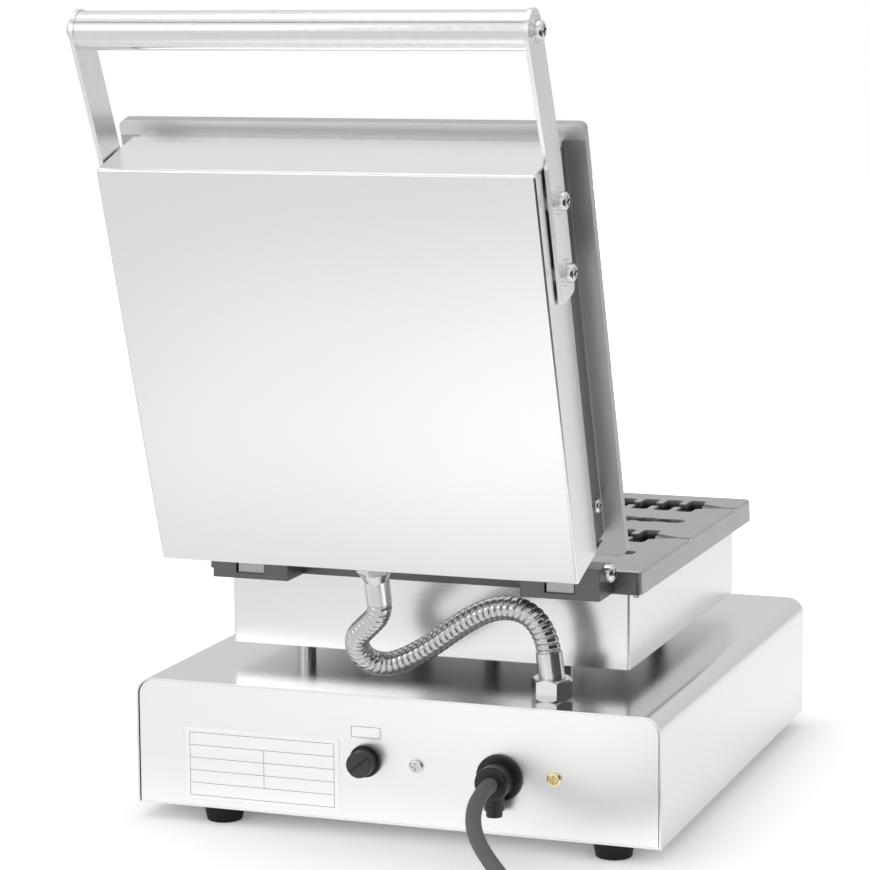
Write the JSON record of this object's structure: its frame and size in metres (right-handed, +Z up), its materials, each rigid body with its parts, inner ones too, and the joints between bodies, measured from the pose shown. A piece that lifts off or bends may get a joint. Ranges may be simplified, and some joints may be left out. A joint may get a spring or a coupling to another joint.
{
  "type": "waffle on a stick maker",
  "caption": "Countertop waffle-on-a-stick maker: hinged mould plates, lid with a tubular handle, steel base on feet, metal conduit and mains cord.",
  "frame": {"origin": "middle of the object's footprint on the worktop, without the cord, lid open at rest", "axes": "+Z up; -Y towards the user's side with the knobs; +X to the user's right; the hinge lies along X"},
  "size_m": [0.4427, 0.7122, 0.5047],
  "materials": {
    "satin_steel": "satin",
    "bright_steel": "polished",
    "zinc_steel": "zinc plated",
    "cast_iron": "as cast, ground face",
    "black_plastic": "matt",
    "foot_rubber": "matt",
    "cord_rubber": "matt",
    "plug_metal": "nickel plated",
    "brass": "polished",
    "label_foil": "satin",
    "fibre_blanket": "fibrous",
    "porcelain": "glazed",
    "lead_sleeve": "woven sleeve",
    "green_lens": "clear tinted",
    "orange_lens": "clear tinted"
  },
  "bodies": {
    "base": {"base_housing": "satin_steel", "rear_panel": "satin_steel", "front_panel": "satin_steel", "control_plate": "label_foil", "bottom_plate": "satin_steel", "rubber_feet": "foot_rubber", "foot_screws": "zinc_steel", "terminal_block": "porcelain", "wiring_loom": "lead_sleeve", "standoffs": "bright_steel", "standoff_bolts": "zinc_steel", "wiring_tube": "bright_steel", "lower_box": "satin_steel", "lower_plate": "cast_iron", "rim_screws": "zinc_steel", "lower_heater": "zinc_steel", "lower_heater_clamps": "satin_steel", "plate_bolts": "zinc_steel", "lower_insulation": "fibre_blanket", "sensor_capillary": "zinc_steel", "hinge_bolts": "bright_steel", "hinge_nuts": "bright_steel", "reset_bushing": "black_plastic", "limit_switch": "zinc_steel", "cable_gland": "black_plastic", "gland_clamp_screw": "zinc_steel", "gland_nut": "black_plastic", "earth_screw": "brass", "panel_screw": "zinc_steel", "rear_labels": "label_foil", "thermostat_body": "zinc_steel", "timer_body": "zinc_steel", "power_lamp": "green_lens", "heating_lamp": "orange_lens", "conduit_nut": "bright_steel", "conduit_sleeve_lower": "bright_steel", "conduit_hose": "bright_steel", "cord_run": "cord_rubber", "cord_coil": "cord_rubber", "plug_body": "cord_rubber", "plug_pins": "plug_metal"},
    "lid": {"upper_plate": "cast_iron", "lid_cover": "satin_steel", "lid_screws": "zinc_steel", "upper_heater": "zinc_steel", "upper_heater_clamps": "satin_steel", "upper_insulation": "fibre_blanket", "handle_arm_left": "satin_steel", "handle_arm_right": "satin_steel", "handle_grip": "bright_steel", "handle_screws": "bright_steel", "handle_washers": "bright_steel", "handle_spacers": "bright_steel", "conduit_sleeve_upper": "bright_steel"},
    "temperature_control": {"temperature_knob": "black_plastic", "temperature_shaft": "zinc_steel"},
    "timer_control": {"timer_knob": "black_plastic", "timer_shaft": "zinc_steel"},
    "reset_cover": {"reset_cap": "black_plastic"},
    "reset_button": {"reset_pin": "brass"}
  },
  "joints": [
    {"name": "lid_hinge", "type": "hinge", "parent": "base", "child": "lid", "pos_m": [0, 0.08801, 0.1675], "axis": [1, 0, 0], "range_deg": [0, 108.5], "deforming": ["conduit_hose"]},
    {"name": "temperature_turn", "type": "hinge", "parent": "base", "child": "temperature_control", "pos_m": [-0.09, -0.24399, 0.051], "axis": [0, 1, 0], "range_deg": [0, 270]},
    {"name": "timer_turn", "type": "hinge", "parent": "base", "child": "timer_control", "pos_m": [0.09, -0.24399, 0.051], "axis": [0, 1, 0], "range_deg": [0, 300]},
    {"name": "reset_cover_off", "type": "slide", "parent": "base", "child": "reset_cover", "axis": [0, 1, 0], "range_m": [0, 0.02]},
    {"name": "reset_press", "type": "slide", "parent": "base", "child": "reset_button", "axis": [0, -1, 0], "range_m": [0, 0.002], "stiffness_N_per_m": 400, "springref_m": -0.0005}
  ]
}
